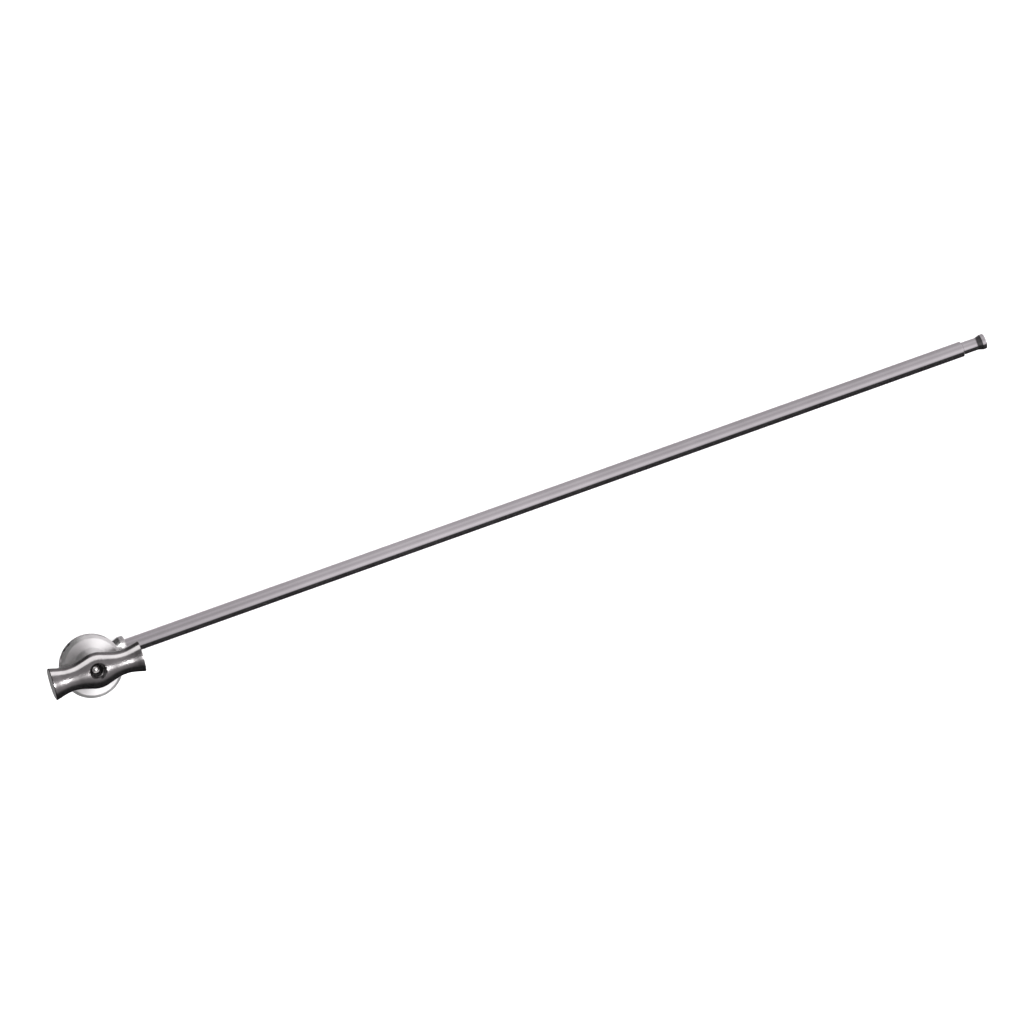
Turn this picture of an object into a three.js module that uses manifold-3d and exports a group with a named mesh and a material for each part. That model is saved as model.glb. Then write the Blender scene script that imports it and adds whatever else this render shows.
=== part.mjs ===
// Extension grip arm: a long round rod with a swivelling two-jaw disc clamp head,
// drawn together by a T-handle nut on a central bolt.
// Millimetres. Z is the bolt axis, from the flat back of the head (z = 0) to the
// handle; the rod runs along +X at ROD_Z.
import * as THREE from 'three';
import { mergeVertices } from 'three/addons/utils/BufferGeometryUtils.js';
import Module from 'manifold-3d';

const wasm = await Module();
wasm.setup();

// rod and end pin
const ROD_Z = 13;
const ROD_R = 7.94;
const ROD_BORE_R = 5.45;
const ROD_START = 14;
const ROD_END = 942;
const PIN_END = 967;
const PIN_NECK_R = 6.35;

// casting that carries the rod and the bolt
const HUB_R = 20;
const FLANGE_R = 26;
const FLANGE_TOP = 31.5;
const SOCKET_R = 10;
const COLLAR_R = 12.4;
const COLLAR_END = 43;
const ROD_PIN_R = 2;
const ROD_PIN_X = [23, 29.5];

// bolt
const BOLT_R = 4.76;
const BOLT_END = 66;
const HEX_FLATS = 14.3;
const HEX_HEIGHT = 6;

// jaws
const WASHER_Z = [31.7, 32.9];
const JAW_R = 31.75;
const REAR_Z = [33.1, 41.5];
const FRONT_Z = [42, 48.6];
const FRONT_HUB_TOP = 52;
const FRONT_HUB_R = 15;
const SPRING_POCKET_R = 8.8;
const SPRING_SEAT = [36.5, 47.5];
// each groove: the rod it grips runs along `along`, at `offset` from the bolt axis
const GROOVES = [
  { along: 'y', offset: 19, half: 7.2, depth: 4.5 },
  { along: 'y', offset: -17.5, half: 5.5, depth: 3.6 },
  { along: 'x', offset: 17.5, half: 4.3, depth: 3 },
  { along: 'x', offset: -17.5, half: 3.2, depth: 2.4 },
];
const GUIDE_PINS = [[-9.5, -9.5], [9, 9]];
const GUIDE_PIN_R = 1.5;
const GUIDE_PIN_Z = [36, 51.7];

// jaw spring
const SPRING_R = 7.2;
const WIRE_R = 0.65;
const COILS = 5;

// thrust bearing under the handle
const RACE_R = [6.2, 11.8];
const LOWER_RACE_Z = [52.2, 53.3];
const UPPER_RACE_Z = [56.6, 57.7];
const BALL_R = 1.6;
const BALL_PITCH_R = 9;
const BALL_Z = 54.95;
const BALLS = 10;

// handle
const HANDLE_MID = 67.5;
const HANDLE_BOTTOM = 55;
const HANDLE_HALF = 47.3;
// how square the section is: its crowned top and bottom, and its straighter sides
const HANDLE_CROWN = 2.2;
const HANDLE_SIDES = 3;
// the casting is a little wider at its left end: extra half width per mm towards -X
const HANDLE_TAPER = 0.01;
// draft of its sides: the share by which the top is wider than the middle height
const HANDLE_DRAFT = 0.14;
// [distance from the middle, half width seen from above, half height]
const HANDLE_SECTIONS = [
  [0, 17.6, 11], [5, 17.1, 10.97], [10, 15.7, 10.9], [15, 14.3, 10.77], [20, 13, 10.6],
  [24, 12.4, 10.5], [28, 12.2, 10.45], [32, 12.4, 10.5], [36, 13.1, 10.65], [40, 14, 10.9],
  [43, 14.8, 11.15], [46.8, 15.7, 11.5], [HANDLE_HALF, 15.2, 11.1],
];
const HANDLE_REST = -2;
// the bolt hole's rim lies at the bottom of a shallow dish in the handle's top
const HOLE_RIM = 75.5;
const DISH_R = 9;
const NEST_TOP = 57.9;
const NEST_R = 12.3;
const COUNTERBORE_R = 6;
const COUNTERBORE_FLOOR = 65;

const CHROME = { color: 0xc9c6cc, roughness: 0.12, metalness: 1 };
const CAST = { color: 0xa9a7ab, roughness: 0.3, metalness: 1 };
const HANDLE_METAL = { color: 0x6f6d71, roughness: 0.38, metalness: 1 };
const STEEL = { color: 0xb4b3b0, roughness: 0.25, metalness: 1 };
const BRASS = { color: 0xb08d4a, roughness: 0.3, metalness: 1 };
const FIBRE = { color: 0x3a2c24, roughness: 0.85, metalness: 0 };

// ---- solids -------------------------------------------------------------

function signedVolume(position, index) {
  let sum = 0;
  const a = new THREE.Vector3();
  const b = new THREE.Vector3();
  const c = new THREE.Vector3();
  for (let i = 0; i < index.length; i += 3) {
    a.fromArray(position, 3 * index[i]);
    b.fromArray(position, 3 * index[i + 1]);
    c.fromArray(position, 3 * index[i + 2]);
    sum += a.dot(b.cross(c));
  }
  return sum / 6;
}

function solid(geometry) {
  const bare = geometry.clone();
  bare.deleteAttribute('normal');
  bare.deleteAttribute('uv');
  const welded = mergeVertices(bare, 1e-4);
  const position = new Float32Array(welded.attributes.position.array);
  const kept = [];
  const index = welded.index.array;
  for (let i = 0; i < index.length; i += 3) {
    const [a, b, c] = [index[i], index[i + 1], index[i + 2]];
    if (a !== b && b !== c && c !== a) kept.push(a, b, c);
  }
  if (signedVolume(position, kept) < 0) {
    for (let i = 0; i < kept.length; i += 3) {
      [kept[i + 1], kept[i + 2]] = [kept[i + 2], kept[i + 1]];
    }
  }
  return new wasm.Manifold(new wasm.Mesh({
    numProp: 3,
    vertProperties: position,
    triVerts: new Uint32Array(kept),
  }));
}

function geometryOf(manifold) {
  const mesh = manifold.getMesh();
  const geometry = new THREE.BufferGeometry();
  geometry.setAttribute('position', new THREE.BufferAttribute(mesh.vertProperties, 3));
  geometry.setIndex(new THREE.BufferAttribute(mesh.triVerts, 1));
  return geometry;
}

function lathe(points, segments) {
  return new THREE.LatheGeometry(points.map(([r, y]) => new THREE.Vector2(r, y)), segments);
}

// profile of [radius, z], turned about Z
function turned(points, segments = 48) {
  return solid(lathe(points, segments).rotateX(Math.PI / 2));
}

// profile of [x, radius], turned about the X axis through (0, y, z)
function turnedAlongX(points, z, segments = 32) {
  const geometry = lathe(points.map(([x, r]) => [r, x]), segments);
  return solid(geometry.rotateZ(-Math.PI / 2).translate(0, 0, z));
}

function rod(radius, z0, z1, segments = 32) {
  return turned([[0, z0], [radius, z0], [radius, z1], [0, z1]], segments);
}

function ring(inner, outer, z0, z1, bevel = 0, segments = 48) {
  const profile = [[inner, z0], [outer - bevel, z0], [outer, z0 + bevel]];
  profile.push([outer, z1 - bevel], [outer - bevel, z1], [inner, z1], [inner, z0]);
  return turned(profile, segments);
}

function placed(manifold, x, y, z = 0) {
  return manifold.translate([x, y, z]);
}

function crossPin(x, radius, length, segments = 16) {
  const geometry = new THREE.CylinderGeometry(radius, radius, length, segments);
  return solid(geometry.translate(x, 0, ROD_Z));
}

// ---- arm ----------------------------------------------------------------

function armRod() {
  const outer = [[ROD_START, ROD_BORE_R], [ROD_START, ROD_R], [ROD_END - 0.8, ROD_R]];
  outer.push([ROD_END, ROD_R - 0.8], [ROD_END, ROD_BORE_R], [ROD_START, ROD_BORE_R]);
  let tube = turnedAlongX(outer, ROD_Z, 48);
  for (const x of ROD_PIN_X) tube = tube.subtract(crossPin(x, ROD_PIN_R + 0.12, 40));
  return tube;
}

function endPin() {
  const shank = ROD_BORE_R - 0.15;
  const shoulder = ROD_END + 0.15;
  return turnedAlongX([
    [shoulder - 20, 0],
    [shoulder - 20, shank - 0.6],
    [shoulder - 19.4, shank],
    [shoulder, shank],
    [shoulder, PIN_NECK_R],
    [PIN_END - 10, PIN_NECK_R],
    [PIN_END - 8.6, PIN_NECK_R + 0.2],
    [PIN_END - 5.6, ROD_R - 0.2],
    [PIN_END - 4.8, ROD_R],
    [PIN_END - 1.8, ROD_R],
    [PIN_END - 0.6, ROD_R - 0.7],
    [PIN_END, ROD_R - 2],
    [PIN_END, 0],
  ], ROD_Z, 48);
}

function hexPrism(flats, z0, z1) {
  const shape = new THREE.Shape();
  for (let i = 0; i < 6; i += 1) {
    const angle = (i + 0.5) * Math.PI / 3;
    const reach = flats / Math.sqrt(3);
    shape[i ? 'lineTo' : 'moveTo'](reach * Math.cos(angle), reach * Math.sin(angle));
  }
  shape.closePath();
  const geometry = new THREE.ExtrudeGeometry(shape, { depth: z1 - z0, bevelEnabled: false });
  return solid(geometry.translate(0, 0, z0));
}

function armCasting() {
  const hub = turned([
    [0, 0], [HUB_R - 1.5, 0], [HUB_R, 1.5], [HUB_R, 19], [HUB_R + 1, 21.5],
    [FLANGE_R - 1.5, 24], [FLANGE_R, 25.5], [FLANGE_R, FLANGE_TOP - 1],
    [FLANGE_R - 1, FLANGE_TOP], [0, FLANGE_TOP],
  ], 64);
  const socket = turnedAlongX([
    [8, 0], [8, SOCKET_R + 1.4], [22, SOCKET_R + 0.6], [26, SOCKET_R], [32, SOCKET_R],
    [34, SOCKET_R + 0.5], [37, COLLAR_R - 0.5], [38.4, COLLAR_R], [COLLAR_END - 1.2, COLLAR_R],
    [COLLAR_END, COLLAR_R - 1.2], [COLLAR_END, 0],
  ], ROD_Z, 48);
  let body = hub.add(socket);
  const bore = [[ROD_START - 0.2, 0], [ROD_START - 0.2, ROD_R + 0.15]];
  bore.push([COLLAR_END + 5, ROD_R + 0.15], [COLLAR_END + 5, 0]);
  body = body.subtract(turnedAlongX(bore, ROD_Z, 48));
  body = body.subtract(rod(BOLT_R + 0.25, -1, FLANGE_TOP + 1));
  body = body.subtract(hexPrism(HEX_FLATS + 0.4, -1, HEX_HEIGHT + 0.2));
  for (const x of ROD_PIN_X) body = body.subtract(crossPin(x, ROD_PIN_R + 0.12, 60));
  return body;
}

function rodPin(x) {
  return crossPin(x, ROD_PIN_R, 2 * SOCKET_R - 1);
}

function drawBolt() {
  const shank = turned([
    [0, HEX_HEIGHT - 1], [BOLT_R, HEX_HEIGHT - 1], [BOLT_R, BOLT_END - 1],
    [BOLT_R - 1, BOLT_END], [0, BOLT_END],
  ], 32);
  return hexPrism(HEX_FLATS, 0, HEX_HEIGHT).add(shank);
}

// ---- jaws ---------------------------------------------------------------

// a V groove with a flat floor, cut into the face at z; `up` is +1 when the metal is above z
function grooveCutter({ along, offset, half, depth }, z, up) {
  const reach = half - depth;
  const shape = new THREE.Shape();
  shape.moveTo(-half - 1, -1);
  shape.lineTo(half + 1, -1);
  shape.lineTo(reach, depth);
  shape.lineTo(-reach, depth);
  shape.closePath();
  const length = 2 * JAW_R + 8;
  const geometry = new THREE.ExtrudeGeometry(shape, { depth: length, bevelEnabled: false });
  geometry.translate(0, 0, -length / 2).rotateX(Math.PI / 2);
  if (up < 0) geometry.rotateY(Math.PI);
  if (along === 'x') geometry.rotateZ(Math.PI / 2);
  const [x, y] = along === 'x' ? [0, offset] : [offset, 0];
  return solid(geometry.translate(x, y, z));
}

function cutFace(jaw, z, up) {
  let body = jaw;
  for (const groove of GROOVES) body = body.subtract(grooveCutter(groove, z, up));
  return body;
}

function rearJaw() {
  const [z0, z1] = REAR_Z;
  const blank = turned([
    [0, z0], [JAW_R - 3, z0], [JAW_R - 0.9, z0 + 0.9], [JAW_R, z0 + 3],
    [JAW_R, z1 - 0.8], [JAW_R - 0.8, z1], [0, z1],
  ], 64);
  let body = cutFace(blank, z1, -1);
  body = body.subtract(rod(BOLT_R + 0.35, z0 - 1, z1 + 1));
  body = body.subtract(rod(SPRING_POCKET_R, SPRING_SEAT[0], z1 + 1, 40));
  for (const [x, y] of GUIDE_PINS) {
    const hole = rod(GUIDE_PIN_R + 0.08, GUIDE_PIN_Z[0] - 0.1, z1 + 1, 16);
    body = body.subtract(placed(hole, x, y));
  }
  return body;
}

function frontJaw() {
  const [z0, z1] = FRONT_Z;
  const blank = turned([
    [0, z0], [JAW_R - 0.8, z0], [JAW_R, z0 + 0.8], [JAW_R, z1 - 3.2],
    [JAW_R - 0.9, z1 - 1.2], [JAW_R - 2.8, z1], [25, z1 + 0.35], [24.6, z1 + 0.8],
    [23.6, z1 + 0.8], [23.2, z1 + 0.45], [19.8, z1 + 0.9], [17.2, z1 + 1.7],
    [FRONT_HUB_R + 0.4, FRONT_HUB_TOP - 0.5], [FRONT_HUB_R - 0.4, FRONT_HUB_TOP],
    [0, FRONT_HUB_TOP],
  ], 64);
  let body = cutFace(blank, z0, 1);
  body = body.subtract(rod(BOLT_R + 0.35, z0 - 1, FRONT_HUB_TOP + 1));
  body = body.subtract(rod(SPRING_POCKET_R, z0 - 1, SPRING_SEAT[1], 40));
  for (const [x, y] of GUIDE_PINS) {
    body = body.subtract(placed(rod(GUIDE_PIN_R + 0.15, z0 - 1, FRONT_HUB_TOP + 1, 16), x, y));
  }
  return body;
}

function guidePin([x, y]) {
  const [z0, z1] = GUIDE_PIN_Z;
  const profile = [[0, z0], [GUIDE_PIN_R, z0], [GUIDE_PIN_R, z1 - 0.5]];
  profile.push([GUIDE_PIN_R - 0.5, z1], [0, z1]);
  return placed(turned(profile, 16), x, y);
}

class Helix extends THREE.Curve {
  getPoint(t) {
    const angle = 2 * Math.PI * COILS * t;
    const bottom = SPRING_SEAT[0] + WIRE_R + 0.1;
    const top = SPRING_SEAT[1] - WIRE_R - 0.1;
    const z = bottom + (top - bottom) * t;
    return new THREE.Vector3(SPRING_R * Math.cos(angle), SPRING_R * Math.sin(angle), z);
  }
}

function jawSpring() {
  const section = new THREE.Shape();
  for (let i = 0; i < 8; i += 1) {
    const angle = i * Math.PI / 4;
    section[i ? 'lineTo' : 'moveTo'](WIRE_R * Math.cos(angle), WIRE_R * Math.sin(angle));
  }
  section.closePath();
  const options = { steps: 24 * COILS, extrudePath: new Helix(), bevelEnabled: false };
  return solid(new THREE.ExtrudeGeometry(section, options));
}

// ---- thrust bearing -----------------------------------------------------

function race([z0, z1]) {
  return ring(RACE_R[0], RACE_R[1], z0, z1, 0.25);
}

function ballPosition(i) {
  const angle = 2 * Math.PI * i / BALLS;
  return [BALL_PITCH_R * Math.cos(angle), BALL_PITCH_R * Math.sin(angle)];
}

function bearingCage() {
  let cage = ring(RACE_R[0] + 0.5, RACE_R[1] - 0.5, BALL_Z - 0.6, BALL_Z + 0.6);
  for (let i = 0; i < BALLS; i += 1) {
    const [x, y] = ballPosition(i);
    cage = cage.subtract(placed(rod(BALL_R + 0.12, BALL_Z - 2, BALL_Z + 2, 16), x, y));
  }
  return cage;
}

function ball(i) {
  const [x, y] = ballPosition(i);
  return solid(new THREE.SphereGeometry(BALL_R, 14, 10).translate(x, y, BALL_Z));
}

// ---- handle -------------------------------------------------------------

function handleSection([x, wide, high], around) {
  const points = [];
  for (let k = 0; k < around; k += 1) {
    const angle = 2 * Math.PI * k / around;
    const [c, d] = [Math.cos(angle), Math.sin(angle)];
    const across = Math.sign(c) * Math.abs(c) ** (2 / HANDLE_CROWN);
    const up = Math.sign(d) * Math.abs(d) ** (2 / HANDLE_SIDES);
    const reach = (wide - HANDLE_TAPER * x) * (1 + HANDLE_DRAFT * up);
    points.push(x, reach * across, high * up + HANDLE_MID);
  }
  return points;
}

// a loft through oval sections, wide and thick at its flat ends and in the middle
function handleBody() {
  const around = 48;
  const left = HANDLE_SECTIONS.slice(1).reverse().map(([x, wide, high]) => [-x, wide, high]);
  const sections = [...left, ...HANDLE_SECTIONS];
  const position = sections.flatMap((section) => handleSection(section, around));
  position.push(-HANDLE_HALF, 0, HANDLE_MID, HANDLE_HALF, 0, HANDLE_MID);
  const first = sections.length * around;
  const index = [];
  for (let k = 0; k < around; k += 1) {
    const next = (k + 1) % around;
    for (let i = 0; i < sections.length - 1; i += 1) {
      const [a, b] = [i * around, (i + 1) * around];
      index.push(a + k, b + k, b + next, a + k, b + next, a + next);
    }
    index.push(first, k, next, first + 1, first - around + next, first - around + k);
  }
  const geometry = new THREE.BufferGeometry();
  geometry.setAttribute('position', new THREE.Float32BufferAttribute(position, 3));
  geometry.setIndex(index);
  return solid(geometry);
}

function tHandle() {
  const hub = turned([
    [0, HANDLE_BOTTOM], [13.7, HANDLE_BOTTOM], [14.4, HANDLE_BOTTOM + 0.7], [14.2, HANDLE_MID],
    [0, HANDLE_MID],
  ], 48);
  let body = handleBody().add(hub);
  body = body.subtract(rod(NEST_R, HANDLE_BOTTOM - 1, NEST_TOP, 48));
  body = body.subtract(rod(7.15, NEST_TOP - 1, COUNTERBORE_FLOOR, 32));
  body = body.subtract(rod(COUNTERBORE_R, COUNTERBORE_FLOOR - 1, HOLE_RIM + 1, 32));
  const dishDepth = DISH_R - COUNTERBORE_R;
  body = body.subtract(turned([
    [0, HOLE_RIM - 0.5], [COUNTERBORE_R - 0.5, HOLE_RIM - 0.5],
    [DISH_R + 1, HOLE_RIM + dishDepth + 1], [0, HOLE_RIM + dishDepth + 1],
  ], 48));
  return body.rotate([0, 0, HANDLE_REST]);
}

// threaded bush: its flange sits in the handle, its sleeve centres the bearing
function handleInsert() {
  return turned([
    [BOLT_R + 0.15, 53], [5.9, 53], [5.9, NEST_TOP + 0.2], [7, NEST_TOP + 0.2],
    [7, COUNTERBORE_FLOOR - 0.2], [BOLT_R + 0.15, COUNTERBORE_FLOOR - 0.2],
    [BOLT_R + 0.15, 53],
  ], 32);
}

// ---- assembly -----------------------------------------------------------

const group = new THREE.Group();
group.name = 'extension_grip_arm';

function add(name, manifold, look) {
  const mesh = new THREE.Mesh(geometryOf(manifold), new THREE.MeshStandardMaterial(look));
  mesh.name = name;
  mesh.material.name = name;
  group.add(mesh);
}

add('arm_rod', armRod(), CHROME);
add('end_pin', endPin(), CHROME);
add('arm_casting', armCasting(), CAST);
ROD_PIN_X.forEach((x, i) => add(`rod_pin_${i + 1}`, rodPin(x), STEEL));
add('draw_bolt', drawBolt(), STEEL);
add('friction_washer', ring(BOLT_R + 0.5, FLANGE_R - 1, ...WASHER_Z, 0.2, 64), FIBRE);
add('rear_jaw', rearJaw(), CAST);
GUIDE_PINS.forEach((at, i) => add(`jaw_guide_pin_${i + 1}`, guidePin(at), STEEL));
add('jaw_spring', jawSpring(), STEEL);
add('front_jaw', frontJaw(), CAST);
add('bearing_race_lower', race(LOWER_RACE_Z), STEEL);
add('bearing_cage', bearingCage(), BRASS);
for (let i = 0; i < BALLS; i += 1) {
  add(`bearing_ball_${String(i + 1).padStart(2, '0')}`, ball(i), STEEL);
}
add('bearing_race_upper', race(UPPER_RACE_Z), STEEL);
add('handle_insert', handleInsert(), STEEL);
add('t_handle', tHandle(), HANDLE_METAL);

export default group;
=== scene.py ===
# Extension grip arm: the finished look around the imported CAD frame. Metres, Z along the bolt.
import math

import bmesh
import bpy
from mathutils import Matrix, Vector


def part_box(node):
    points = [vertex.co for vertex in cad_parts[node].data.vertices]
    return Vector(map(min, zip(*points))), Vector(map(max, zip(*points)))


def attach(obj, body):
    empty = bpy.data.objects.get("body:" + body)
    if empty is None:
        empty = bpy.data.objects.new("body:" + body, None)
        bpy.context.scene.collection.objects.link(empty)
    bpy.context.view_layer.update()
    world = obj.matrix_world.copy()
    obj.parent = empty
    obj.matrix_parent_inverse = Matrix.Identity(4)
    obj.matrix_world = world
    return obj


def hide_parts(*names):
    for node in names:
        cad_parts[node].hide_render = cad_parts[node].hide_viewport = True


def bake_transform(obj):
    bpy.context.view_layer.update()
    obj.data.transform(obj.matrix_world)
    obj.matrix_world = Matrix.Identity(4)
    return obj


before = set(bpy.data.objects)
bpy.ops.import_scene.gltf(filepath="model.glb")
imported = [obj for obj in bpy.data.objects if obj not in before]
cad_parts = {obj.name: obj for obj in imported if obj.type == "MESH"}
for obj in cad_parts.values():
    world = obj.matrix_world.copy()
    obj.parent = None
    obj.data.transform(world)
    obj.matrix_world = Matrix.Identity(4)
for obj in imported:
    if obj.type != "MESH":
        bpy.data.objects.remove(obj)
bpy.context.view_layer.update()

MM = 0.001
PI = math.pi

# ---- sizes that the frame doesn't give, in millimetres --------------------------------
ROD_Z = 13.0
ROD_R = 7.94
ROD_BORE_R = 5.45
ROD_WAY_R = 8.1
ROD_PIN_X = (23.0, 29.5)
ROD_PIN_R = 2.0
HUB_R = 20.0
HUB_SHELF_R = 26.0
HUB_TOP = 31.5
SOCKET_END = 43.0
BOLT_R = 4.76
BOLT_TIP = 66.0
THREAD_Z = (34.0, 64.6)
THREAD_PITCH = 1.5875
THREAD_DEPTH = 0.85
HEX_CORNER_R = 8.256
HEX_DEPTH = 6.0
WASHER_R = (5.26, 25.0)
JAW_R = 31.75
JAW_WAY_R = 5.11
FRONT_RIM_Z = 48.6
SPRING_Z = (36.5, 47.5)
SPRING_POCKET_R = 8.8
GUIDE_PIN_R = 1.5
GUIDE_PINS = ((-9.5, -9.5), (9.0, 9.0))       # x, y
GROOVES = (("y", 19.0, 7.2, 4.5), ("y", -17.5, 5.5, 3.6),       # along, offset, half width, depth
           ("x", 17.5, 4.3, 3.0), ("x", -17.5, 3.2, 2.4))
RACE_R = (6.2, 11.8)
CAGE_R = (6.7, 11.3)
BALLS = 10
BALL_R = 1.6
HANDLE_REST = math.radians(-2.0)
HANDLE_BOTTOM = 55.0
HANDLE_MID = 67.5
HANDLE_HALF = 47.3
HOLE_RIM = 75.5
BUSH_R = (4.95, 5.9, 7.0)       # thread, nose, body
BUSH_Z = (53.0, 58.1, 64.8)     # nose, shoulder, top

# ---- camera ---------------------------------------------------------------------------
BOLT_TILT = math.radians(15.5)        # bolt axis to view direction
ROD_IN_VIEW = math.radians(19.63)     # the rod's slope in the picture
BOLT_LEAN = math.radians(-31.8)       # which way the bolt axis leans in the picture
AIM = Vector((0.4588, -0.0092, 0.0149))
LENS = 600.0
FRAME_WIDTH = 1.0320


def make_camera():
    rod = Vector((math.cos(ROD_IN_VIEW), math.sin(ROD_IN_VIEW)))
    lean = Vector((math.cos(BOLT_LEAN), math.sin(BOLT_LEAN)))
    recede = math.atan(math.tan(BOLT_TILT) * rod.dot(lean))
    x = Vector((*(rod * math.cos(recede)), -math.sin(recede)))
    z = Vector((*(lean * math.sin(BOLT_TILT)), math.cos(BOLT_TILT)))
    y = z.cross(x)
    turn = Matrix((x, y, z))          # rows: the object's axes as the camera sees them
    data = bpy.data.cameras.new("camera")
    data.lens = LENS
    data.sensor_width = 36.0
    data.clip_end = 200.0
    camera = bpy.data.objects.new("camera", data)
    bpy.context.scene.collection.objects.link(camera)
    distance = FRAME_WIDTH * LENS / data.sensor_width
    back = turn @ Vector((0, 0, 1))
    camera.matrix_world = Matrix.Translation(AIM + back * distance) @ turn.to_4x4()
    bpy.context.scene.camera = camera
    return turn


# ---- mesh helpers ---------------------------------------------------------------------
def fillet(profile, radii, closed=False, steps=4):
    """Rounds the corners of a polyline of (a, b) points; radii maps a point's index to its radius."""
    out = []
    n = len(profile)
    for i, p in enumerate(profile):
        r = radii.get(i, 0) if isinstance(radii, dict) else radii
        if not closed and i in (0, n - 1):
            r = 0
        p = Vector(p)
        a, b = Vector(profile[i - 1]), Vector(profile[(i + 1) % n])
        if r <= 0 or (a - p).length < 1e-9 or (b - p).length < 1e-9:
            out.append(tuple(p))
            continue
        da, db = (a - p).normalized(), (b - p).normalized()
        angle = da.angle(db)
        if angle > math.radians(176):
            out.append(tuple(p))
            continue
        cut = min(r / math.tan(angle / 2), 0.48 * (a - p).length, 0.48 * (b - p).length)
        for k in range(steps + 1):
            t = k / steps
            q = (1 - t) ** 2 * (p + da * cut) + 2 * t * (1 - t) * p + t ** 2 * (p + db * cut)
            out.append(tuple(q))
    return out


def new_object(name, bm, smooth=35):
    bmesh.ops.remove_doubles(bm, verts=bm.verts, dist=1e-7)
    bmesh.ops.recalc_face_normals(bm, faces=bm.faces)
    mesh = bpy.data.meshes.new(name)
    bm.to_mesh(mesh)
    bm.free()
    obj = bpy.data.objects.new(name, mesh)
    bpy.context.scene.collection.objects.link(obj)
    soften(obj, smooth)
    return obj


def soften(obj, angle):
    obj.data.shade_smooth()
    if angle:
        obj.data.set_sharp_from_angle(angle=math.radians(angle))


def lathe(name, profile, axis="z", at=(0, 0, 0), segments=96, closed=False, smooth=35):
    """profile is a list of (radius, along) in millimetres, turned about an axis through `at`."""
    bm = bmesh.new()
    rings = []
    for r, t in profile:
        ring = []
        for k in range(segments if r > 1e-6 else 1):
            phi = 2 * PI * k / segments
            c, s = r * math.cos(phi), r * math.sin(phi)
            p = (t, c, s) if axis == "x" else (s, t, c) if axis == "y" else (c, s, t)
            ring.append(bm.verts.new([(p[i] + at[i]) * MM for i in range(3)]))
        rings.append(ring)
    pairs = list(zip(rings, rings[1:])) + ([(rings[-1], rings[0])] if closed else [])
    for a, b in pairs:
        for k in range(segments):
            quad = [a[k % len(a)], a[(k + 1) % len(a)], b[(k + 1) % len(b)], b[k % len(b)]]
            corners = [v for i, v in enumerate(quad) if v not in quad[:i]]
            if len(corners) > 2:
                bm.faces.new(corners)
    return new_object(name, bm, smooth)


def ring_profile(inner, outer, z0, z1, edge=0.2):
    return fillet([(inner, z0), (outer, z0), (outer, z1), (inner, z1)], edge, closed=True)


def boolean(obj, cutter, operation="DIFFERENCE"):
    modifier = obj.modifiers.new("cut", "BOOLEAN")
    modifier.operation = operation
    modifier.solver = "EXACT"
    modifier.object = cutter
    apply(obj)
    bpy.data.objects.remove(cutter)


def drill(obj, radius, start, end, axis="z", at=(0, 0, 0), segments=96):
    """Cuts a round way from start to end along an axis through `at`."""
    outline = [(0, start), (radius, start), (radius, end), (0, end)]
    boolean(obj, lathe("way", outline, axis, at, segments))


def apply(obj):
    deps = bpy.context.evaluated_depsgraph_get()
    mesh = bpy.data.meshes.new_from_object(obj.evaluated_get(deps))
    mesh.validate()
    old = obj.data
    obj.modifiers.clear()
    obj.data = mesh
    bpy.data.meshes.remove(old)


def skin(name, rows, smooth):
    """A closed skin through rings of points in metres, with a flat face at each end."""
    bm = bmesh.new()
    rings = [[bm.verts.new(point) for point in row] for row in rows]
    n = len(rings[0])
    for a, b in zip(rings, rings[1:]):
        for k in range(n):
            bm.faces.new((a[k], a[(k + 1) % n], b[(k + 1) % n], b[k]))
    bm.faces.new(rings[0][::-1])
    bm.faces.new(rings[-1])
    return new_object(name, bm, smooth)


def hexagon(corner):
    turns = [(i + 0.5) * PI / 3 for i in range(6)]
    return [(corner * math.cos(turn), corner * math.sin(turn)) for turn in turns]


def prism(name, outline, z0, z1):
    bm = bmesh.new()
    low = [bm.verts.new((x * MM, y * MM, z0 * MM)) for x, y in outline]
    high = [bm.verts.new((x * MM, y * MM, z1 * MM)) for x, y in outline]
    n = len(outline)
    bm.faces.new(low[::-1])
    bm.faces.new(high)
    for i in range(n):
        bm.faces.new((low[i], low[(i + 1) % n], high[(i + 1) % n], high[i]))
    return new_object(name, bm, 30)


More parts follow.
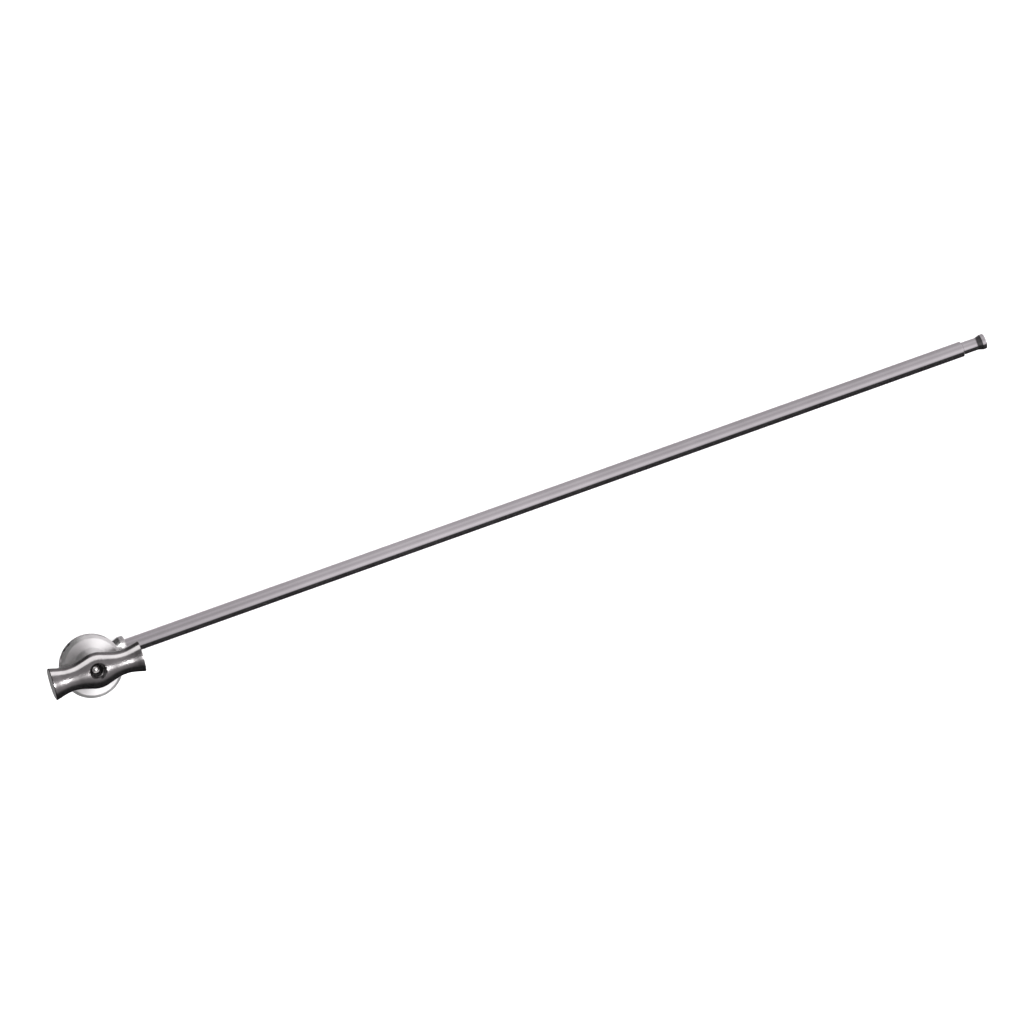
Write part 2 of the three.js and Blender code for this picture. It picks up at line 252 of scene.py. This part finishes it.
# ---- materials ------------------------------------------------------------------------
def metal(name, colour, rough, spread=0.05, grain=(1, 1, 1), grain_scale=900, bump=0.15,
          tone=0.06, mottle=60, metallic=1.0, wear=0.0, depth=0.00005):
    """Metal with fine tool marks along `grain`, slow tone changes, and brighter worn edges."""
    material = bpy.data.materials.new(name)
    material.use_nodes = True
    nodes, links = material.node_tree.nodes, material.node_tree.links
    shader = nodes["Principled BSDF"]
    shader.inputs["Metallic"].default_value = metallic
    coords = nodes.new("ShaderNodeTexCoord")

    stretch = nodes.new("ShaderNodeMapping")
    stretch.inputs["Scale"].default_value = grain
    links.new(coords.outputs["Object"], stretch.inputs["Vector"])
    fine = nodes.new("ShaderNodeTexNoise")
    fine.inputs["Scale"].default_value = grain_scale
    fine.inputs["Detail"].default_value = 6
    fine.inputs["Roughness"].default_value = 0.65
    links.new(stretch.outputs["Vector"], fine.inputs["Vector"])
    broad = nodes.new("ShaderNodeTexNoise")
    broad.inputs["Scale"].default_value = mottle
    broad.inputs["Detail"].default_value = 4
    links.new(coords.outputs["Object"], broad.inputs["Vector"])

    tint = nodes.new("ShaderNodeValToRGB")
    ramp = tint.color_ramp.elements
    ramp[0].position, ramp[1].position = 0.3, 0.7
    ramp[0].color = (*[c * (1 - tone) for c in colour], 1)
    ramp[1].color = (*[min(1, c * (1 + tone)) for c in colour], 1)
    links.new(broad.outputs["Fac"], tint.inputs["Fac"])
    base = tint.outputs["Color"]
    if wear:
        geometry = nodes.new("ShaderNodeNewGeometry")
        edge = nodes.new("ShaderNodeMapRange")
        edge.inputs["From Min"].default_value = 0.52
        edge.inputs["From Max"].default_value = 0.60
        edge.inputs["To Max"].default_value = wear
        links.new(geometry.outputs["Pointiness"], edge.inputs["Value"])
        mix = nodes.new("ShaderNodeMix")
        mix.data_type = "RGBA"
        links.new(edge.outputs["Result"], mix.inputs["Factor"])
        links.new(base, mix.inputs["A"])
        mix.inputs["B"].default_value = (*[min(1, c * 1.4) for c in colour], 1)
        base = mix.outputs["Result"]
    links.new(base, shader.inputs["Base Color"])

    blend = nodes.new("ShaderNodeMix")
    blend.data_type = "FLOAT"
    blend.inputs["Factor"].default_value = 0.5
    links.new(fine.outputs["Fac"], blend.inputs["A"])
    links.new(broad.outputs["Fac"], blend.inputs["B"])
    gloss = nodes.new("ShaderNodeMapRange")
    gloss.inputs["From Min"].default_value = 0.3
    gloss.inputs["From Max"].default_value = 0.7
    gloss.inputs["To Min"].default_value = max(0.02, rough - spread)
    gloss.inputs["To Max"].default_value = rough + spread
    links.new(blend.outputs["Result"], gloss.inputs["Value"])
    links.new(gloss.outputs["Result"], shader.inputs["Roughness"])

    relief = nodes.new("ShaderNodeBump")
    relief.inputs["Strength"].default_value = bump
    relief.inputs["Distance"].default_value = depth
    links.new(fine.outputs["Fac"], relief.inputs["Height"])
    links.new(relief.outputs["Normal"], shader.inputs["Normal"])
    return material


def turned_marks(material, amount, rotation):
    """Reflections drawn out by the circular tool marks of a face turned about Z."""
    nodes, links = material.node_tree.nodes, material.node_tree.links
    shader = nodes["Principled BSDF"]
    around = nodes.new("ShaderNodeTangent")
    around.direction_type = "RADIAL"
    around.axis = "Z"
    links.new(around.outputs["Tangent"], shader.inputs["Tangent"])
    shader.inputs["Anisotropic"].default_value = amount
    shader.inputs["Anisotropic Rotation"].default_value = rotation


CHROME = metal("polished_chrome", (0.80, 0.775, 0.80), 0.09, 0.035, (14, 1, 1), 700, 0.12, 0.03, 35)
TURNED = metal("turned_plate", (0.79, 0.78, 0.78), 0.38, 0.05, (1, 1, 1), 1500, 0.25, 0.05, 120)
turned_marks(TURNED, 0.8, 0.25)
CASTING = metal("plated_casting", (0.62, 0.61, 0.615), 0.27, 0.04, (1, 1, 1), 700, 0.4, 0.04, 90)
HANDLE = metal("handle_casting", (0.22, 0.211, 0.213), 0.18, 0.04, (1, 1, 1), 550, 0.3, 0.08, 110, wear=0.35)
STEEL = metal("ground_steel", (0.72, 0.71, 0.70), 0.2, 0.06, (1, 1, 8), 900, 0.3, 0.05, 200)
# the threaded bush's near-black colour is painted shade: it stands in for the shadow inside the handle's
# hole
HOLE_SHADE_STEEL = metal("steel_dark_as_hole_shade", (0.09, 0.088, 0.09), 0.36, 0.06, (1, 1, 8), 900, 0.3, 0.1, 200)
POLISHED = metal("polished_steel", (0.78, 0.78, 0.78), 0.06, 0.03, (1, 1, 1), 1200, 0.05, 0.03, 300)
BRASS = metal("turned_brass", (0.66, 0.46, 0.2), 0.24, 0.07, (1, 1, 6), 1200, 0.3, 0.1, 180)
FIBRE = metal("fibre_disc", (0.06, 0.042, 0.034), 0.75, 0.1, (1, 1, 3), 1600, 0.9, 0.35, 500,
              metallic=0.0, depth=0.0002)


def dress(obj, material, slot, body, *nodes):
    obj.data.materials.clear()
    obj.data.materials.append(material)
    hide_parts(*nodes)
    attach(obj, body)
    return obj


# ---- arm ------------------------------------------------------------------------------
def arm_rod():
    lo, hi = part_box("arm_rod")
    x0, x1 = lo[0] / MM, hi[0] / MM
    outline = [(ROD_BORE_R, x0), (ROD_R, x0), (ROD_R, x1), (ROD_BORE_R, x1)]
    profile = fillet(outline, {1: 0.6, 2: 0.9, 3: 0.3}, closed=True, steps=5)
    rod = lathe("rod_tube", profile, "x", (0, 0, ROD_Z), 160, closed=True)
    return dress(rod, CHROME, "chrome", "arm", "arm_rod")


def end_pin():
    lo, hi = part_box("end_pin")
    x0, x1 = lo[0] / MM, hi[0] / MM
    stud, neck = 5.3, 6.35
    shoulder, flare, rim = x1 - 24.85, x1 - 9.5, x1 - 4.4
    profile = [(0, x0), (stud - 0.3, x0), (stud, x0 + 0.6), (stud, shoulder), (neck, shoulder),
               (neck, flare), (ROD_R, rim), (ROD_R, x1 - 1.0), (ROD_R - 1.04, x1), (0, x1)]
    profile = fillet(profile, {4: 0.8, 5: 9.0, 6: 1.6, 7: 1.0, 8: 1.0}, steps=10)
    pin = lathe("waisted_end_pin", profile, "x", (0, 0, ROD_Z), 128)
    return dress(pin, CHROME, "chrome", "arm", "end_pin")


def arm_casting():
    hub = lathe("arm_casting_body", fillet(
        [(0, 0), (HUB_R, 0), (HUB_R, 20.5), (HUB_SHELF_R, 23.7), (HUB_SHELF_R, HUB_TOP), (0, HUB_TOP)],
        {1: 1.5, 2: 3.0, 3: 1.2, 4: 0.8}), segments=160)
    root, waist, collar = 11.4, 10.0, 12.4
    outline = [(0, 8), (root, 8), (waist + 0.2, 25), (waist, 32), (collar, 37.8),
               (collar, SOCKET_END), (0, SOCKET_END)]
    profile = fillet(outline, {2: 4, 3: 4, 4: 1.4, 5: 1.2})
    socket = lathe("socket", profile, "x", (0, 0, ROD_Z), 128)
    boolean(hub, socket, "UNION")
    drill(hub, ROD_WAY_R, 13.8, SOCKET_END + 7, "x", (0, 0, ROD_Z), 128)
    mouth = [(0, SOCKET_END - 1), (ROD_WAY_R, SOCKET_END - 1), (ROD_WAY_R + 1.2, SOCKET_END + 0.3),
             (0, SOCKET_END + 0.3)]
    boolean(hub, lathe("mouth", mouth, "x", (0, 0, ROD_Z), 128))
    drill(hub, BOLT_R + 0.24, -1, HUB_TOP + 8.5)
    boolean(hub, prism("hex_way", hexagon(HEX_CORNER_R + 0.224), -1, HEX_DEPTH + 0.2))
    for x in ROD_PIN_X:
        drill(hub, ROD_PIN_R + 0.1, -30, 30, "y", (x, 0, ROD_Z), 32)
    soften(hub, 32)
    return dress(hub, CASTING, "plated_casting", "arm", "arm_casting")


def rod_pins():
    bore, reach = 0.9, 9.4
    outline = [(bore, -reach), (ROD_PIN_R, -reach), (ROD_PIN_R, reach), (bore, reach)]
    profile = fillet(outline, {1: 0.4, 2: 0.4}, closed=True)
    for i, x in enumerate(ROD_PIN_X):
        pin = lathe(f"spring_pin_{i + 1}", profile, "y", (x, 0, ROD_Z), 40, closed=True)
        dress(pin, STEEL, "steel", "arm", f"rod_pin_{i + 1}")


def threaded(name, radius, z0, z1, depth, pitch, per_turn=40):
    """A real helical thread from z0 to z1 on a solid core, run out over its last turn."""
    groove_shape = ((0.0, 0.0), (0.12, 0.0), (0.5, 1.0), (0.62, 1.0), (1.0, 0.0))
    run_out, tip_shrink = 0.9, 0.14
    rows_per_pitch = 8
    rows = []
    count = int(math.ceil((z1 - z0) / pitch * rows_per_pitch))
    for j in range(count + 1):
        z = z0 + (z1 - z0) * j / count
        row = []
        for k in range(per_turn):
            phi = 2 * PI * k / per_turn
            t = ((z - z0) / pitch - k / per_turn) % 1.0
            drop = next(a[1] + (b[1] - a[1]) * (t - a[0]) / (b[0] - a[0])
                        for a, b in zip(groove_shape, groove_shape[1:]) if t <= b[0])
            fade = min(1.0, (z1 - z) / run_out + 0.25)
            r = (radius - depth * drop) * (1 - tip_shrink * (1 - fade))
            row.append((r * math.cos(phi) * MM, r * math.sin(phi) * MM, z * MM))
        rows.append(row)
    return skin(name, rows, 50)


def draw_bolt():
    start, end = THREAD_Z
    bolt = threaded("draw_bolt_threaded", BOLT_R, start, end, THREAD_DEPTH, THREAD_PITCH)
    dome_r, steps = 4.4, 8
    turns = [k * PI / 2 / steps for k in range(1, steps)]
    dome = [(0, end - 2.6), (dome_r, end - 2.6), (dome_r, end)]
    dome += [(dome_r * math.cos(turn), end + (BOLT_TIP - end) * math.sin(turn)) for turn in turns]
    boolean(bolt, lathe("dome", dome + [(0, BOLT_TIP)], segments=64, smooth=50), "UNION")
    shank_z = (HEX_DEPTH - 1.5, start + 0.6)
    outline = [(0, shank_z[0]), (BOLT_R, shank_z[0]), (BOLT_R, shank_z[1]), (0, shank_z[1])]
    boolean(bolt, lathe("shank", fillet(outline, {2: 0.3}), segments=64), "UNION")
    head = prism("head", hexagon(HEX_CORNER_R), -0.5, HEX_DEPTH)
    flat, around, chamfer = 7.4, 9.2, 1.1
    outline = [(0, 0), (flat, 0), (around, chamfer), (around, HEX_DEPTH + 0.1), (0, HEX_DEPTH + 0.1)]
    crown = lathe("crown", outline, segments=64)
    boolean(head, crown, "INTERSECT")
    boolean(bolt, head, "UNION")
    soften(bolt, 30)
    return dress(bolt, STEEL, "steel", "arm", "draw_bolt")


def friction_washer():
    lo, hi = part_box("friction_washer")
    profile = ring_profile(*WASHER_R, lo[2] / MM, hi[2] / MM, 0.25)
    disc = lathe("friction_disc", profile, closed=True, segments=128)
    return dress(disc, FIBRE, "fibre", "arm", "friction_washer")


# ---- jaws -----------------------------------------------------------------------------
def groove(along, offset, half, depth, z, up):
    """A cutter for one V groove with small gripping ridges across its walls."""
    ridge_step, ridge_depth = 0.8, 0.28
    floor_half = half - depth
    length = 36.0
    steps = int(2 * length / ridge_step)
    rows = []
    for j in range(steps + 1):
        t = -length + 2 * length * j / steps
        bite = 0.0 if j % 2 else ridge_depth
        outline = [(-half - 1.0, -1.0), (half + 1.0, -1.0), (half, 0.0),
                   (floor_half + bite, depth - bite), (floor_half, depth), (-floor_half, depth),
                   (-floor_half - bite, depth - bite), (-half, 0.0)]
        row = []
        for a, b in outline:
            p = (t, a + offset, z + up * b) if along == "x" else (a + offset, t, z + up * b)
            row.append([c * MM for c in p])
        rows.append(row)
    return skin("groove", rows, 30)


def rear_jaw():
    lo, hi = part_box("rear_jaw")
    z0, z1 = lo[2] / MM, hi[2] / MM
    foot = 28.4
    outline = [(0, z0), (foot, z0), (JAW_R, z0 + 2.6), (JAW_R, z1), (0, z1)]
    profile = fillet(outline, {1: 2.0, 2: 1.6, 3: 0.7}, steps=6)
    jaw = lathe("jaw_disc_rear", profile, segments=192)
    for along, offset, half, depth in GROOVES:
        boolean(jaw, groove(along, offset, half, depth, z1, -1))
    drill(jaw, JAW_WAY_R, z0 - 1, z1 + 1)
    drill(jaw, SPRING_POCKET_R, SPRING_Z[0], z1 + 1)
    for x, y in GUIDE_PINS:
        drill(jaw, GUIDE_PIN_R + 0.08, SPRING_Z[0] - 0.6, z1 + 1, at=(x, y, 0), segments=32)
    soften(jaw, 30)
    return dress(jaw, CASTING, "plated_casting", "rear_jaw", "rear_jaw")


def front_jaw():
    lo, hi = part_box("front_jaw")
    z0, rim, top = lo[2] / MM, FRONT_RIM_Z, hi[2] / MM
    edge, foot, crest = 28.7, 19.5, 14.6
    outline = [(0, z0), (JAW_R, z0), (JAW_R, rim - 2.0), (edge, rim - 0.15), (foot, rim + 1.1),
               (crest + 1.6, top - 0.6), (crest, top), (0, top)]
    profile = fillet(outline, {1: 0.7, 2: 0.7, 3: 0.7, 4: 4.0, 5: 1.6, 6: 1.2}, steps=8)
    jaw = lathe("jaw_disc_front", profile, segments=192)
    for along, offset, half, depth in GROOVES:
        boolean(jaw, groove(along, offset, half, depth, z0, 1))
    drill(jaw, JAW_WAY_R, z0 - 1, top + 1)
    drill(jaw, SPRING_POCKET_R, z0 - 1, SPRING_Z[1])
    for x, y in GUIDE_PINS:
        drill(jaw, GUIDE_PIN_R + 0.15, z0 - 1, top + 1, at=(x, y, 0), segments=32)
    soften(jaw, 30)
    return dress(jaw, TURNED, "plated_casting", "front_jaw", "front_jaw")


def guide_pins():
    for i, (x, y) in enumerate(GUIDE_PINS):
        lo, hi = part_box(f"jaw_guide_pin_{i + 1}")
        z0, z1 = lo[2] / MM, hi[2] / MM
        profile = fillet([(0, z0), (GUIDE_PIN_R, z0), (GUIDE_PIN_R, z1), (0, z1)], {1: 0.3, 2: 0.7})
        pin = lathe(f"guide_pin_{i + 1}", profile, at=(x, y, 0), segments=40)
        dress(pin, POLISHED, "steel", "rear_jaw", f"jaw_guide_pin_{i + 1}")


def jaw_spring():
    """Round wire with closed end coils, set between the jaws."""
    wire, mean = 0.65, 7.2
    turns, per_turn, sides = 6.5, 40, 12
    first, last = SPRING_Z[0] + wire + 0.05, SPRING_Z[1] - wire - 0.05
    closed = 2 * wire + 0.08
    free = (last - first) - 2 * closed
    path = []
    for k in range(int(turns * per_turn) + 1):
        t = k / per_turn
        if t < 1:
            z = first + closed * t
        elif t > turns - 1:
            z = last - closed * (turns - t)
        else:
            s = (t - 1) / (turns - 2)
            z = first + closed + free * s
        path.append(Vector((mean * math.cos(2 * PI * t), mean * math.sin(2 * PI * t), z)))
    rows = []
    for k, p in enumerate(path):
        tangent = (path[min(k + 1, len(path) - 1)] - path[max(k - 1, 0)]).normalized()
        out = Vector((p.x, p.y, 0)).normalized()
        side = tangent.cross(out).normalized()
        out = side.cross(tangent)
        around = [2 * PI * j / sides for j in range(sides)]
        rows.append([(p + (out * math.cos(a) + side * math.sin(a)) * wire) * MM for a in around])
    spring = skin("jaw_coil_spring", rows, 40)
    spring.data.materials.append(STEEL)
    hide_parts("jaw_spring")
    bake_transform(spring)
    return spring


# ---- thrust bearing -------------------------------------------------------------------
def bearing():
    for node, body in (("bearing_race_lower", "thrust_seat"), ("bearing_race_upper", "handle")):
        lo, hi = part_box(node)
        profile = ring_profile(*RACE_R, lo[2] / MM, hi[2] / MM, 0.25)
        race = lathe(node.replace("bearing_", "thrust_"), profile, closed=True)
        dress(race, POLISHED, "steel", body, node)
    lo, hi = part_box("bearing_cage")
    cage = lathe("ball_retainer", ring_profile(*CAGE_R, lo[2] / MM, hi[2] / MM, 0.2), closed=True)
    steps = 20
    for i in range(BALLS):
        node = f"bearing_ball_{i + 1:02d}"
        a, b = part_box(node)
        x, y, z = [(a[k] + b[k]) / 2 / MM for k in range(3)]
        drill(cage, BALL_R + 0.1, z - 2, z + 2, at=(x, y, 0), segments=32)
        turns = [PI * k / steps for k in range(1, steps)]
        arc = [(BALL_R * math.sin(turn), z - BALL_R * math.cos(turn)) for turn in turns]
        arc = [(0, z - BALL_R), *arc, (0, z + BALL_R)]
        ball = lathe(f"steel_ball_{i + 1:02d}", arc, at=(x, y, 0), segments=32, smooth=0)
        dress(ball, POLISHED, "steel", "ball_cage", node)
    soften(cage, 35)
    dress(cage, BRASS, "brass", "ball_cage", "bearing_cage")


# ---- handle ---------------------------------------------------------------------------
# distance from the bolt and half the width, then half the height, there
HANDLE_PLAN = ((0, 17.6), (5, 17.1), (10, 15.7), (15, 14.3), (20, 13.0), (24, 12.4), (28, 12.2),
               (32, 12.4), (36, 13.1), (40, 14.0), (43, 14.8), (HANDLE_HALF, 15.8))
HANDLE_RISE = ((0, 11), (5, 10.97), (10, 10.9), (15, 10.77), (20, 10.6), (24, 10.5), (28, 10.45),
               (32, 10.5), (36, 10.65), (40, 10.9), (43, 11.15), (HANDLE_HALF, 11.5))
HANDLE_TAPER = 0.01     # narrower towards +X
HANDLE_DRAFT = 0.14     # wider towards the top
HANDLE_CROWN = 2.2      # how square the section is across, 2 being round
HANDLE_SIDES = 3.0      # and upwards


def smooth_at(table, x):
    """Catmull-Rom through the table's points, even in x."""
    x = abs(x)
    pts = [(-table[1][0], table[1][1]), *table]
    end, before = table[-1], table[-2]
    pts.append((2 * end[0] - before[0], 2 * end[1] - before[1]))
    for i in range(1, len(pts) - 2):
        if x <= pts[i + 1][0] + 1e-9:
            break
    (x0, y0), (x1, y1), (x2, y2), (x3, y3) = pts[i - 1:i + 3]
    t = (x - x1) / (x2 - x1)
    m1, m2 = (y2 - y0) / (x2 - x0) * (x2 - x1), (y3 - y1) / (x3 - x1) * (x2 - x1)
    return ((2 * t ** 3 - 3 * t ** 2 + 1) * y1 + (t ** 3 - 2 * t ** 2 + t) * m1
            + (-2 * t ** 3 + 3 * t ** 2) * y2 + (t ** 3 - t ** 2) * m2)


def t_handle():
    around, lengthwise, end_round = 144, 140, 0.9
    stations = [HANDLE_HALF * (2 * i / lengthwise - 1) for i in range(lengthwise + 1)]

    def section(x, shrink):
        wide = smooth_at(HANDLE_PLAN, x) - HANDLE_TAPER * x - shrink
        high = smooth_at(HANDLE_RISE, x) - shrink
        row = []
        for k in range(around):
            phi = 2 * PI * k / around
            c, s = math.cos(phi), math.sin(phi)
            across = math.copysign(abs(c) ** (2 / HANDLE_CROWN), c)
            up = math.copysign(abs(s) ** (2 / HANDLE_SIDES), s)
            y = wide * (1 + HANDLE_DRAFT * up) * across
            row.append((x * MM, y * MM, (high * up + HANDLE_MID) * MM))
        return row

    def shrink_at(x):
        past = max(0.0, abs(x) - (HANDLE_HALF - end_round))
        return end_round - math.sqrt(max(0.0, end_round ** 2 - past ** 2))

    handle = skin("t_handle_casting", [section(x, shrink_at(x)) for x in stations], 40)
    bottom, hub_r = HANDLE_BOTTOM, 14.4
    outline = [(0, bottom), (hub_r, bottom), (hub_r - 0.2, HANDLE_MID), (0, HANDLE_MID)]
    boolean(handle, lathe("hub", fillet(outline, {1: 0.8}), segments=128), "UNION")
    nest, nest_top = RACE_R[1] + 0.5, bottom + 2.9
    bush, bush_top = BUSH_R[2] + 0.15, BUSH_Z[2] + 0.2
    hole, dish = 6.0, 9.0
    outline = [(0, bottom - 5), (nest, bottom - 5), (nest, nest_top), (bush, nest_top), (bush, bush_top),
               (hole, bush_top), (hole, HOLE_RIM), (dish, HOLE_RIM + 3), (dish + 2, HOLE_RIM + 6),
               (0, HOLE_RIM + 6)]
    boolean(handle, lathe("way", fillet(outline, {6: 0.9, 7: 0.9}), segments=128))
    handle.data.transform(Matrix.Rotation(HANDLE_REST, 4, "Z"))
    soften(handle, 32)
    return dress(handle, HANDLE, "handle_casting", "handle", "t_handle")


def handle_insert():
    bore, nose, body = BUSH_R
    low, shoulder, top = BUSH_Z
    outline = [(bore, low), (nose, low), (nose, shoulder), (body, shoulder), (body, top), (bore, top)]
    profile = fillet(outline, {1: 0.3, 3: 0.3, 4: 0.4}, closed=True)
    bush = lathe("threaded_bush", profile, closed=True, segments=96)
    # near-black colour here is painted shade for the handle's hole
    return dress(bush, HOLE_SHADE_STEEL, "steel", "handle", "handle_insert")


# ---- stage ----------------------------------------------------------------------------
def plain(name, colour):
    material = bpy.data.materials.new(name)
    material.use_nodes = True
    shader = material.node_tree.nodes["Principled BSDF"]
    shader.inputs["Base Color"].default_value = (*colour, 1)
    shader.inputs["Roughness"].default_value = 0.9
    shader.inputs["Specular IOR Level"].default_value = 0.1
    return material


def card(name, centre, size, facing, material):
    bm = bmesh.new()
    bmesh.ops.create_grid(bm, x_segments=1, y_segments=1, size=0.5)
    mesh = bpy.data.meshes.new(name)
    bm.to_mesh(mesh)
    bm.free()
    obj = bpy.data.objects.new(name, mesh)
    bpy.context.scene.collection.objects.link(obj)
    aim = Vector(facing).to_track_quat("Z", "Y").to_matrix().to_4x4()
    obj.matrix_world = Matrix.Translation(centre) @ aim @ Matrix.Diagonal((*size, 1, 1))
    obj.data.materials.append(material)
    return obj


def area(name, at, target, size, power, pieces):
    """A rectangular light, its second side along Y as seen from the target, for the named pieces only."""
    data = bpy.data.lights.new(name, "AREA")
    data.shape = "RECTANGLE"
    data.size, data.size_y = size
    data.energy = power
    light = bpy.data.objects.new(name, data)
    bpy.context.scene.collection.objects.link(light)
    back = (Vector(at) - Vector(target)).normalized()
    right = Vector((0, 1, 0)).cross(back).normalized()
    axes = Matrix((right, back.cross(right), back)).transposed()
    light.matrix_world = Matrix.Translation(at) @ axes.to_4x4()
    light.visible_camera = False
    lit = bpy.data.collections.new(name + "_lit")
    for piece in pieces:
        lit.objects.link(bpy.data.objects[piece])
    light.light_linking.receiver_collection = lit


# What the polished metal reflects, by angle from straight up, towards -Y positive: a pale
# room on the handle's side of the rod and a dark one on the other.
STUDIO = ((-180, 0.45), (-134, 0.42), (-109, 0.42), (-89, 0.46), (-72, 0.57), (-56, 0.54), (-41, 0.46),
          (-27, 0.49), (-12, 0.60), (2, 0.72), (17, 0.70), (33, 0.55), (42, 0.06), (54, 0.02),
          (128, 0.02), (142, 1.0), (180, 0.8))
STUDIO_TINT = (1.0, 0.955, 0.985)
# how that room brightens from the head's far side (-X) to the rod's side (+X)
ALONG = ((-1, 0.15), (-0.5, 0.15), (-0.25, 0.08), (-0.1, 0.15), (0.0, 0.45), (0.13, 1.05), (0.17, 1.0),
         (0.23, 0.86), (0.5, 1.25), (1, 1.25))


def make_world():
    world = bpy.data.worlds.new("studio")
    bpy.context.scene.world = world
    world.use_nodes = True
    nodes, links = world.node_tree.nodes, world.node_tree.links
    nodes.clear()

    def maths(operation, *values):
        node = nodes.new("ShaderNodeMath")
        node.operation = operation
        for socket, value in zip(node.inputs, values):
            if isinstance(value, (int, float)):
                socket.default_value = value
            else:
                links.new(value, socket)
        return node.outputs["Value"]

    def colour_ramp(factor, stops):
        """stops are (place from 0 to 1, colour)."""
        node = nodes.new("ShaderNodeValToRGB")
        links.new(factor, node.inputs["Fac"])
        marks = node.color_ramp.elements
        while len(marks) < len(stops):
            marks.new(0.5)
        for mark, (place, colour) in zip(marks, stops):
            mark.position = place
            mark.color = (*colour, 1)
        return node.outputs["Color"]

    direction = nodes.new("ShaderNodeSeparateXYZ")
    links.new(nodes.new("ShaderNodeTexCoord").outputs["Generated"], direction.inputs["Vector"])
    x, y, z = direction.outputs
    around = maths("ARCTAN2", maths("MULTIPLY", y, -1.0), z)
    around = maths("MULTIPLY_ADD", around, 0.5 / PI, 0.5)
    studio = [((angle + 180) / 360, [value * c for c in STUDIO_TINT]) for angle, value in STUDIO]
    room = nodes.new("ShaderNodeBackground")
    links.new(colour_ramp(around, studio), room.inputs["Color"])
    brightest = 2.0
    along = [((reach + 1) / 2, [value / brightest] * 3) for reach, value in ALONG]
    side = colour_ramp(maths("MULTIPLY_ADD", x, 0.5, 0.5), along)
    links.new(maths("MULTIPLY", side, brightest), room.inputs["Strength"])
    # what the camera and matt surfaces see: an even white
    dome = nodes.new("ShaderNodeBackground")
    dome.inputs["Color"].default_value = (1, 1, 1, 1)
    dome.inputs["Strength"].default_value = 2.2
    mix = nodes.new("ShaderNodeMixShader")
    links.new(nodes.new("ShaderNodeLightPath").outputs["Is Glossy Ray"], mix.inputs["Fac"])
    links.new(dome.outputs["Background"], mix.inputs[1])
    links.new(room.outputs["Background"], mix.inputs[2])
    out = nodes.new("ShaderNodeOutputWorld")
    links.new(mix.outputs["Shader"], out.inputs["Surface"])


def make_stage():
    bpy.context.scene.view_settings.view_transform = "Standard"
    floor = card("floor", (0.45, 0, -0.0004), (30, 30), (0, 0, 1), plain("floor", (0.95, 0.95, 0.95)))
    floor.visible_glossy = False
    floor.visible_shadow = False
    make_world()
    handle, bolt = "t_handle_casting", "draw_bolt_threaded"
    area("key", (-0.05, 0.394, 0.521), (0, 0, 0.068), (1.3, 0.42), 5.4, (handle,))
    area("top", (0.096, -0.125, 0.66), (0, 0, 0.075), (0.02, 0.05), 0.22, (handle, bolt))
    area("under", (-0.17, -0.14, -0.55), (-0.047, 0, 0.067), (0.2, 0.3), 0.045, (handle,))
    area("side", (-0.1, 0.42, 0.55), (0.038, 0, 0.02), (0.5, 0.4), 6.0, ("arm_casting_body",))
    area("wash", (0.26, -0.20, 0.72), (0, 0, 0.05), (0.25, 1.1), 1.5, ("jaw_disc_front",))
    area("below", (0.07, -0.34, 0.70), (0, 0, 0.05), (0.1, 0.12), 0.26, ("jaw_disc_front",))


make_camera()
arm_rod()
end_pin()
arm_casting()
rod_pins()
draw_bolt()
friction_washer()
rear_jaw()
front_jaw()
guide_pins()
jaw_spring()
bearing()
handle_insert()
t_handle()
make_stage()
